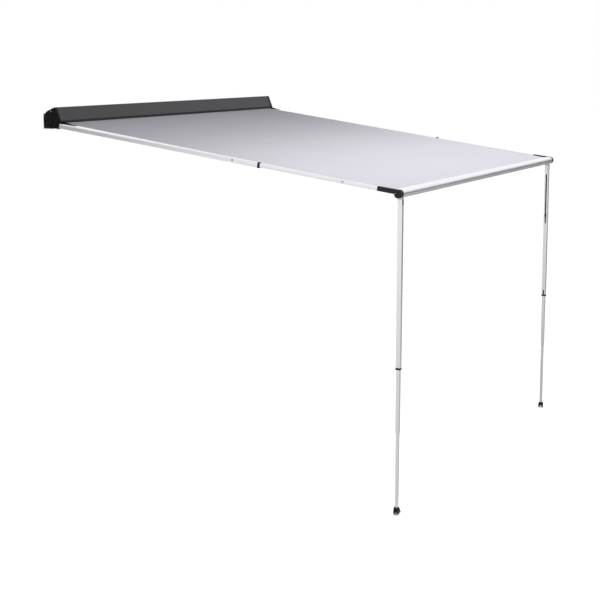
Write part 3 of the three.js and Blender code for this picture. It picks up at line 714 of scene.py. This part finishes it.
def grooved_front(rail, straight, radius, last):
    """The round front from its top to the legs' channel, with its broad and two narrow grooves."""
    top = math.pi / 2
    grooves = [
        (-math.asin(rail.groove_down / radius), rail.groove_width, rail.groove_depth),
        (-math.pi / 6, rail.line_width, rail.line_depth),
        (-math.pi / 4, rail.line_width, rail.line_depth),
    ]
    wall = rail.soft * 1.5

    def inset(angle):
        deepest = 0
        for middle, width, depth in grooves:
            inside = width / 2 + wall / 2 - abs(angle - middle) * radius
            share = min(max(inside / wall, 0), 1)
            deepest = max(deepest, depth * share**2 * (3 - 2 * share))
        return deepest

    steps = 72
    wall_steps = 4
    angles = [top + (last - top) * k / steps for k in range(steps + 1)]
    for middle, width, _ in grooves:
        for side in (-1, 1):
            for k in range(-wall_steps, wall_steps + 1):
                angles.append(middle + (side * width / 2 + wall / 2 * k / wall_steps) / radius)
    points = []
    for angle in sorted(set(angles), reverse=True):
        reach = radius - inset(angle)
        points.append((straight + reach * math.cos(angle), radius + reach * math.sin(angle), 0))
    return points


def rail_outline(rail, straight, radius, slope):
    """The section's outer line, from the channel's back edge over the top to the channel's ceiling."""
    height = radius * 2
    front = rail.channel_back + rail.channel_width
    mouth = rail.hem_up + rail.hem_in / 2 * slope
    low, high = mouth - rail.mouth / 2, mouth + rail.mouth / 2
    start = -math.pi + math.asin((rail.hem_up - low) / rail.pocket)
    end = math.pi - math.asin((high - rail.hem_up) / rail.pocket)
    ceiling = rail.channel_height
    return soft_corners(
        [
            (rail.channel_back, 0, rail.soft),
            (0, 0, rail.edge),
            (0, low, rail.soft),
            *arc_points((rail.hem_in, rail.hem_up), rail.pocket, start, end, steps=28),
            (0, high, rail.soft / 2),
            (0, height, rail.edge),
            *grooved_front(rail, straight, radius, -math.acos((front - straight) / radius)),
            (front, ceiling, rail.soft),
            (rail.channel_back, ceiling, rail.soft),
        ]
    )


class AWNING_OT_rail(bpy.types.Operator):
    """Draw the lead rail's grooved section along its length"""

    bl_idname = "awning.rail"
    bl_label = "Lead rail"

    def execute(self, context):
        low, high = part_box("lead_rail")
        radius = (high.z - low.z) / 2
        straight = high.y - low.y - radius
        start, end, _ = canopy_line()
        slope = (start.z - end.z) / (start.y - end.y)
        section = rail_outline(context.scene.awning_rail, straight, radius, slope)

        def place(share, forward, up):
            return Vector((low.x + (high.x - low.x) * share, high.y - forward, low.z + up))

        bar = drawn_bar("lead_rail_section", section, place, bays=24, material="anodised rail")
        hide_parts("lead_rail")
        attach(bar, "rail")
        return {"FINISHED"}


# Fittings


class AWNING_OT_leg_slides(bpy.types.Operator):
    """Line the upper leg tubes and lay strips on the middle ones, both black as painted shade seen through
    the slot, and plug the lower ones' ends
    """

    bl_idname = "awning.leg_slides"
    bl_label = "Leg slides"

    def execute(self, context):
        for name, side in SIDES.items():
            self.strip(name, side)
            self.liner(name, side)
            self.plug(name)
        return {"FINISHED"}

    def strip(self, name, side):
        """The black strip that shows through the upper tube's slot, from the middle tube's top down:
        painted shade for the slot's inside.
        """
        half = 4.4 * MM
        thick = 0.5 * MM
        edge = 0.2 * MM
        below_tab = 338 * MM
        low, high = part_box(f"leg_middle_tube_{name}")
        face = end_face(low, high, -side)
        middle = (low.y + high.y) / 2
        top = high.z - 1 * MM
        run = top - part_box(f"leg_tab_{name}")[0].z + below_tab
        corners = [(-half, 0, 0), (-half, thick, edge), (half, thick, edge), (half, 0, 0)]

        def place(share, across, out):
            return Vector((face - side * out, middle + across, top - share * run))

        section = soft_corners(corners, steps=3)
        strip = drawn_bar(f"slot_shade_strip_{name}", section, place, bays=12, material="moulded nylon")
        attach(strip, f"leg_middle_{name}")

    def liner(self, name, side):
        """A three-sided black liner inside the upper tube, open towards the slot: painted shade for the
        tube's inside seen through it.
        """
        wall = 2 * MM
        thick = 0.4 * MM
        short = 2 * MM
        below_top = 40 * MM
        above_collar = 30 * MM
        low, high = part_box(f"leg_upper_tube_{name}")
        outer = end_face(low, high, side)
        deep = high.x - low.x - 2 * wall - short
        half = (high.y - low.y) / 2 - wall
        middle = (low.y + high.y) / 2
        top = high.z - below_top
        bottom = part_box(f"leg_collar_{name}")[1].z + above_collar
        back = [(0, -half), (deep, -half), (deep, thick - half), (thick, thick - half)]
        section = [Vector(point) for point in back]
        section += [Vector((into, -across)) for into, across in reversed(back)]

        def place(share, into, across):
            return Vector((outer - side * (wall + into), middle + across, top + (bottom - top) * share))

        liner = drawn_bar(f"slot_shade_liner_{name}", section, place, bays=20, material="moulded nylon")
        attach(liner, f"leg_{name}")

    def plug(self, name):
        """The plug on the lower tube's end, with a skirt up the two faces that the foot leaves open."""
        skirt = 1.4 * MM
        base = 1.6 * MM
        rise = 24 * MM
        edge = 0.6 * MM
        low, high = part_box(f"leg_lower_tube_{name}")
        middle = (low.x + high.x) / 2
        half = (high.x - low.x) / 2
        out = half + skirt
        outside = [(-out, rise, edge), (-out, -base, edge), (out, -base, edge), (out, rise, edge)]
        inside = [(half, rise, 0), (half, 0, 0), (-half, 0, 0), (-half, rise, 0)]

        def place(share, across, up):
            return Vector((middle + across, low.y + (high.y - low.y) * share, low.z + up))

        section = soft_corners(outside + inside, steps=3)
        plug = drawn_bar(f"leg_plug_{name}", section, place, bays=2, material="moulded nylon")
        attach(plug, f"leg_lower_{name}")


def cross_recess(name, centre, side, radius, tall):
    """A cutter of two crossed bars, sunk into the top of a screw's head."""
    turned_by = 0.4
    sizes = Matrix.Diagonal((tall * 1.4, radius, radius * 0.24, 1))
    at = Matrix.Translation(centre + Vector((side * tall, 0, 0)))
    shape = bmesh.new()
    for turn in (0, math.pi / 2):
        bar = bmesh.ops.create_cube(shape, size=1)["verts"]
        spin = Matrix.Rotation(turn + turned_by, 4, "X")
        bmesh.ops.transform(shape, verts=bar, matrix=at @ spin @ sizes)
    mesh = bpy.data.meshes.new(name)
    shape.to_mesh(mesh)
    shape.free()
    return placed(name, mesh)


def screw_head(name, node, side, body):
    """A pan-head screw with a cross recess, in place of the plain CAD head."""
    low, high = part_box(node)
    centre = (low + high) / 2
    centre.x = end_face(low, high, -side)
    radius = (high.z - low.z) / 2
    tall = high.x - low.x
    shares = [(0, 0), (0.92, 0), (1, 0.25), (0.9, 0.7), (0.55, 1), (0, 1)]  # of the radius and the height
    profile = [(radius * out, tall * up) for out, up in shares]
    head = turned(name, profile, centre, (side, 0, 0), "zinc-plated steel", steps=28)
    cutter = cross_recess(name + "_recess", centre, side, radius, tall)
    recess = head.modifiers.new("Recess", "BOOLEAN")
    assign(recess, object=cutter, operation="DIFFERENCE", solver="EXACT", use_self=True)
    apply_modifier(head, recess)
    bpy.data.objects.remove(cutter)
    head.data.shade_flat()
    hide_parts(node)
    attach(head, body)


class AWNING_OT_screws(bpy.types.Operator):
    """Give the end caps and elbows their cross-head screws"""

    bl_idname = "awning.screws"
    bl_label = "Screws"

    def execute(self, context):
        for name, side in SIDES.items():
            screw_head(f"cap_screw_head_{name}", f"end_cap_screw_{name}", side, "case")
            screw_head(f"elbow_screw_head_{name}", f"elbow_screw_{name}", side, f"rafter_inner_{name}")
        return {"FINISHED"}


class AWNING_OT_hub_covers(bpy.types.Operator):
    """Set the round covers on the elbows' hubs"""

    bl_idname = "awning.hub_covers"
    bl_label = "Hub covers"

    def execute(self, context):
        hub = 26 * MM
        section = [(0, -0.4), (13, -0.4), (13, 1), (12, 1.5), (10, 1.5)]  # in millimetres
        section += [(9, 0.7), (6, 0.7), (5, 1.5), (0, 1.7)]
        profile = [(radius * MM, height * MM) for radius, height in section]
        for name, side in SIDES.items():
            low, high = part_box(f"rafter_elbow_{name}")
            centre = Vector((end_face(low, high, side), low.y + hub, low.z + hub))
            cover = turned(f"hub_cover_{name}", profile, centre, (side, 0, 0), "moulded nylon", steps=40)
            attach(cover, f"rafter_inner_{name}")
        return {"FINISHED"}


class AWNING_OT_foot_soles(bpy.types.Operator):
    """Put the grey soles with their tread under the feet; their grey is set paler as painted light, against
    the feet's shade
    """

    bl_idname = "awning.foot_soles"
    bl_label = "Foot soles"

    def execute(self, context):
        for name in SIDES:
            self.sole(name, frame["nodes"][f"foot_{name}"])
        return {"FINISHED"}

    def tread(self, half, thick, tall):
        """The sole's section along the foot, with its grooves across the underside."""
        soft = 1.5 * MM
        ribs = 7
        groove = 2.4 * MM
        cut = 1.2 * MM
        line = [(-half, -thick, soft)]
        for rib in range(1, ribs):
            middle = -half + 2 * half * rib / ribs
            line += [(middle - groove / 2, -thick, 0), (middle - groove / 3, cut, 0)]
            line += [(middle + groove / 3, cut, 0), (middle + groove / 2, -thick, 0)]
        line += [(half, -thick, soft), (half, tall, soft / 2), (-half, tall, soft / 2)]
        return soft_corners(line, steps=4)

    def sole(self, name, foot):
        """Fits a sole round the lowest part of a foot, tilted as the foot is."""
        thick = 0.5 * MM
        tall = 10 * MM
        facing_down = -0.9
        turn = foot.matrix_world.to_3x3()
        under = [face for face in foot.data.polygons if (turn @ face.normal).z < facing_down]
        down = sum(((turn @ face.normal) * face.area for face in under), Vector()).normalized()
        across = Vector((0, 1, 0))
        along = down.cross(across).normalized()
        everywhere = [foot.matrix_world @ vertex.co for vertex in foot.data.vertices]
        level = max(down.dot(everywhere[i]) for face in under for i in face.vertices)
        near_sole = [point for point in everywhere if level - down.dot(point) < tall]
        spans = []
        for way in (along, across):
            reach = [way.dot(point) for point in near_sole]
            spans.append((min(reach), max(reach)))
        centre = along * sum(spans[0]) / 2 + across * sum(spans[1]) / 2 + down * level
        half = (spans[0][1] - spans[0][0]) / 2 + thick
        depth = spans[1][1] - spans[1][0] + 2 * thick

        def place(share, forward, up):
            return centre + along * forward - down * up + across * depth * (share - 0.5)

        section = self.tread(half, thick, tall)
        sole = drawn_bar(f"foot_sole_{name}", section, place, bays=6, material="grey rubber painted paler")
        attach(sole, f"foot_{name}")


class AWNING_OT_cap_ribs(bpy.types.Operator):
    """Mould the two upright ribs on each end cap, between its rear lobe and its front"""

    bl_idname = "awning.cap_ribs"
    bl_label = "Cap ribs"

    def execute(self, context):
        half = 2.2 * MM
        proud = 1.1 * MM
        bury = 0.4 * MM
        ease = 12  # each end fades over one part in this many of the rib
        # Each rib's shares of the cap: how far forward it stands, down to its top, up to its foot
        ribs = ((0.47, 0.22, 0.1), (0.56, 0.2, 0.16))
        arch = [math.pi * k / 10 for k in range(11)]
        crest = [(-half * math.cos(a), proud * math.sin(a)) for a in arch]
        section = [(-half, -bury), *crest, (half, -bury)]
        for name, side in SIDES.items():
            low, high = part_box(f"end_cap_{name}")
            face = end_face(low, high, side)
            for index, (forward, top, foot) in enumerate(ribs, start=1):
                middle = high.y + (low.y - high.y) * forward
                start = high.z - (high.z - low.z) * top
                end = low.z + (high.z - low.z) * foot

                def place(share, across, out):
                    taper = min(1, ease * min(share, 1 - share))
                    height = start + (end - start) * share
                    return Vector((face + side * out * taper, middle + across * (0.5 + taper / 2), height))

                rib = drawn_bar(f"cap_rib_{name}_{index}", section, place, bays=36, material="moulded ABS")
                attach(rib, "case")
        return {"FINISHED"}


class AWNING_OT_mouth_shade_fins(bpy.types.Operator):
    """Put a black wedge-shaped fin at each end of the case's mouth, between the cloth's edge and the
    rafter: painted shade for the dark inside of the case seen there
    """

    bl_idname = "awning.cloth_guides"
    bl_label = "Mouth shade fins"

    def execute(self, context):
        tall = 14 * MM
        run = 95 * MM
        thick = 3 * MM
        edge = 2 * MM
        gap = 1 * MM
        above_tube = 3 * MM
        corners = [(0, 0, edge), (run, 0, 0), (run, edge, 0), (run * 0.5, tall * 0.6, 0), (0, tall, edge)]
        section = soft_corners(corners, steps=4)
        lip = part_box("front_panel")[0].y
        for name, side in SIDES.items():
            _, along_y, along_z = JOINTS[f"rafter_shorten_{name}"]["axis"]
            fall = along_z / along_y
            low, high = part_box(f"rafter_outer_tube_{name}")
            inner = end_face(low, high, -side)
            top = high.z + fall * (lip - high.y) + above_tube

            def place(share, out, up):
                across = inner - side * (gap + thick * share)
                return Vector((across, lip - out, top - fall * out + up))

            # the fin's black is painted shade, where the case's inside lies in shadow
            guide = drawn_bar(f"mouth_shade_fin_{name}", section, place, bays=1, material="moulded ABS")
            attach(guide, "case")
        return {"FINISHED"}


# Finishes of the carried-over solids

FINISHES = {
    "powder coat": ("case_body", "front_panel"),
    "moulded ABS": ("end_cap", "rafter_housing"),
    "moulded nylon": (
        "roller_plug", "rail_cap", "rafter_knuckle", "rafter_collar", "rafter_button", "rafter_elbow",
        "leg_cover", "leg_collar", "leg_lever", "leg_tab",
    ),
    "moulded rubber": ("lip_seal", "foot"),
    "mill alloy": ("wall_bracket", "roller_tube", "leg_head"),
    "zinc-plated steel": ("roller_axle", "rafter_pin", "leg_pin", "foot_pin"),
    "anodised rail": ("lead_rail",),
    "anodised rafter": ("rafter_outer_tube", "rafter_inner_tube"),
    "anodised leg": ("leg_upper_tube", "leg_middle_tube", "leg_lower_tube"),
}


class AWNING_OT_finishes(bpy.types.Operator):
    """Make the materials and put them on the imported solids"""

    bl_idname = "awning.finishes"
    bl_label = "Finishes"

    def execute(self, context):
        colours = context.scene.awning_colours
        powder_coat("powder coat", colours.shell)
        # the end mouldings' darker black is painted shade
        moulded_abs("moulded ABS", colours.shaded_end_moulding)
        moulded_nylon("moulded nylon", colours.moulding)
        grey_card("grey card", colours.card)
        # both low boards glow: painted light, which shows only in the metal's reflections
        grey_card("card with faint glow", colours.low_card, glow=0.09)
        grey_card("glowing card", colours.low_card, glow=0.3)
        for along, name in enumerate(("anodised rail", "anodised rafter", "anodised leg")):
            anodised_extrusion(name, colours.extrusion, along)
        plain_metal("mill alloy", colours.plain_alloy, roughness=0.42, speck=9 * MM)
        plain_metal("zinc-plated steel", colours.zinc, roughness=0.36, speck=3 * MM)
        moulded_rubber("moulded rubber", colours.rubber)
        # the soles' paler grey is painted light
        moulded_rubber("grey rubber painted paler", colours.sole)
        coated_cloth("coated polyester", colours.cloth)
        spun_thread("spun thread", colours.thread)
        studio_floor("studio floor", colours.floor)
        finish_of = {stem: name for name, stems in FINISHES.items() for stem in stems}
        for node, solid in frame["nodes"].items():
            stem = max((key for key in finish_of if node.startswith(key)), key=len, default=None)
            if stem:
                for slot in solid.material_slots:
                    slot.material = finish(finish_of[stem])
        return {"FINISHED"}


# Stage


def rectangle(wide, tall, height=0):
    """The corners of a level rectangle round the origin."""
    return [Vector((x * wide / 2, y * tall / 2, height)) for x, y in ((-1, -1), (1, -1), (1, 1), (-1, 1))]


def aim(thing, place, ahead):
    """Stands a camera or lamp at a place and turns it to look ahead."""
    turn = ahead.to_track_quat("-Z", "Y")
    assign(thing, location=place, rotation_mode="QUATERNION", rotation_quaternion=turn)


class AWNING_OT_stage(bpy.types.Operator):
    """Set the camera, the soft lights, the boards and the floor"""

    bl_idname = "awning.stage"
    bl_label = "Stage"

    def execute(self, context):
        stage = context.scene.awning_stage
        self.camera(context, stage)
        self.world(context, stage)
        low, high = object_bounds()
        self.lamps(stage, low, high)
        above_floor = 0.01
        corners = rectangle(wide=60, tall=60, height=low.z)
        ground = piece_from("studio_floor", corners, [(0, 1, 2, 3)], "studio floor", smooth=False)
        ground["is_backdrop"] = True
        self.boards(low.z + above_floor)
        return {"FINISHED"}

    def camera(self, context, stage):
        data = bpy.data.cameras.new("camera")
        assign(data, sensor_fit="HORIZONTAL", sensor_width=36, lens=stage.focal, clip_end=200)
        data.shift_x, data.shift_y = stage.shift
        camera = placed("camera", data)
        ahead = Vector((math.sin(stage.heading), math.cos(stage.heading), 0)) * math.cos(stage.dip)
        ahead.z = -math.sin(stage.dip)
        aim(camera, stage.camera_place, ahead)
        context.scene.camera = camera
        context.scene.view_settings.view_transform = "Standard"

    def world(self, context, stage):
        world = bpy.data.worlds.new("studio")
        world.use_nodes = True
        tree = world.node_tree
        tree.nodes.clear()
        strength = between(tree, background_rays(tree), low=stage.ambient, high=1)
        light = add_node(tree, "ShaderNodeBackground", {"Color": WHITE, "Strength": strength})
        add_node(tree, "ShaderNodeOutputWorld", {"Surface": light.outputs["Background"]})
        context.scene.world = world

    def lamps(self, stage, low, high):
        """A wide soft lamp over the canopy's front and a weaker one on the left, at the legs' height."""
        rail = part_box("lead_rail")
        right = 0.2
        behind_front = 0.12
        above = 1.0
        over = Vector((right, rail[0].y + behind_front, high.z + above))
        self.softbox("key_light", over, Vector((0, 0, -1)), size=(6.2, 2.2), power=stage.key_power)
        at_legs = -1.0
        away = 3.6
        back = 2.1
        aimed_back = 0.3
        left = Vector((low.x - away, low.y + back, at_legs))
        part = Vector((low.x, low.y + aimed_back, at_legs))
        self.softbox("side_light", left, part - left, size=(3.2, 2.5), power=stage.side_power)

    def softbox(self, name, place, ahead, size, power):
        data = bpy.data.lights.new(name, "AREA")
        assign(data, shape="RECTANGLE", size=size[0], size_y=size[1], energy=power)
        lamp = placed(name, data)
        assign(lamp, visible_camera=False, visible_glossy=False)
        aim(lamp, place, ahead)

    def boards(self, level):
        """Boards out of the picture, mirrored by the metal: place, what each faces, width, height."""
        for name, middle, faces, wide, tall, material in (
            ("card_front", (4.6, -5.6, -0.9), (-1.2, -2.6, -0.9), 6.5, 2.8, "grey card"),
            ("card_low_left", (-4.2, -3.0, level), (-4.2, -3.0, 10.0), 6.0, 7.0, "glowing card"),
            ("card_low_front", (3.4, -3.0, level), (3.4, -3.0, 10.0), 9.2, 7.0, "card with faint glow"),
            ("card_back", (-5.2, 3.15, 0.0), (-1.5, -0.4, 0.0), 3.0, 3.0, "grey card"),
        ):
            place = Vector(middle)
            turn = (Vector(faces) - place).to_track_quat("-Z", "Y").to_matrix().to_4x4()
            turn.translation = place
            corners = [turn @ corner for corner in rectangle(wide, tall)]
            board = piece_from(name, corners, [(0, 1, 2, 3)], material, smooth=False)
            assign(board, visible_camera=False, visible_diffuse=False, visible_shadow=False)
            board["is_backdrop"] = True


# Panel and registration

STEPS = (
    AWNING_OT_finishes,
    AWNING_OT_canopy,
    AWNING_OT_roll,
    AWNING_OT_hem_cord,
    AWNING_OT_rail,
    AWNING_OT_leg_slides,
    AWNING_OT_screws,
    AWNING_OT_hub_covers,
    AWNING_OT_foot_soles,
    AWNING_OT_cap_ribs,
    AWNING_OT_mouth_shade_fins,
    AWNING_OT_stage,
)

GROUPS = {
    "awning_colours": AwningColours,
    "awning_cloth": AwningCloth,
    "awning_rail": AwningRail,
    "awning_stage": AwningStage,
}


class AWNING_PT_panel(bpy.types.Panel):
    """The awning's settings and steps"""

    bl_idname = "AWNING_PT_panel"
    bl_label = "Awning"
    bl_space_type = "VIEW_3D"
    bl_region_type = "UI"
    bl_category = "Awning"

    def draw(self, context):
        for key, group in GROUPS.items():
            box = self.layout.box()
            for name in group.__annotations__:
                box.prop(getattr(context.scene, key), name)
        for step in STEPS:
            self.layout.operator(step.bl_idname)


def register():
    for name, group in GROUPS.items():
        bpy.utils.register_class(group)
        setattr(bpy.types.Scene, name, bpy.props.PointerProperty(type=group))
    for step in (*STEPS, AWNING_PT_panel):
        bpy.utils.register_class(step)


def unregister():
    for step in reversed((*STEPS, AWNING_PT_panel)):
        bpy.utils.unregister_class(step)
    for name, group in reversed(GROUPS.items()):
        delattr(bpy.types.Scene, name)
        bpy.utils.unregister_class(group)


def main():
    register()
    for step in STEPS:
        area, name = step.bl_idname.split(".")
        getattr(getattr(bpy.ops, area), name)()
    bpy.context.view_layer.update()


if __name__ == "__main__":
    main()
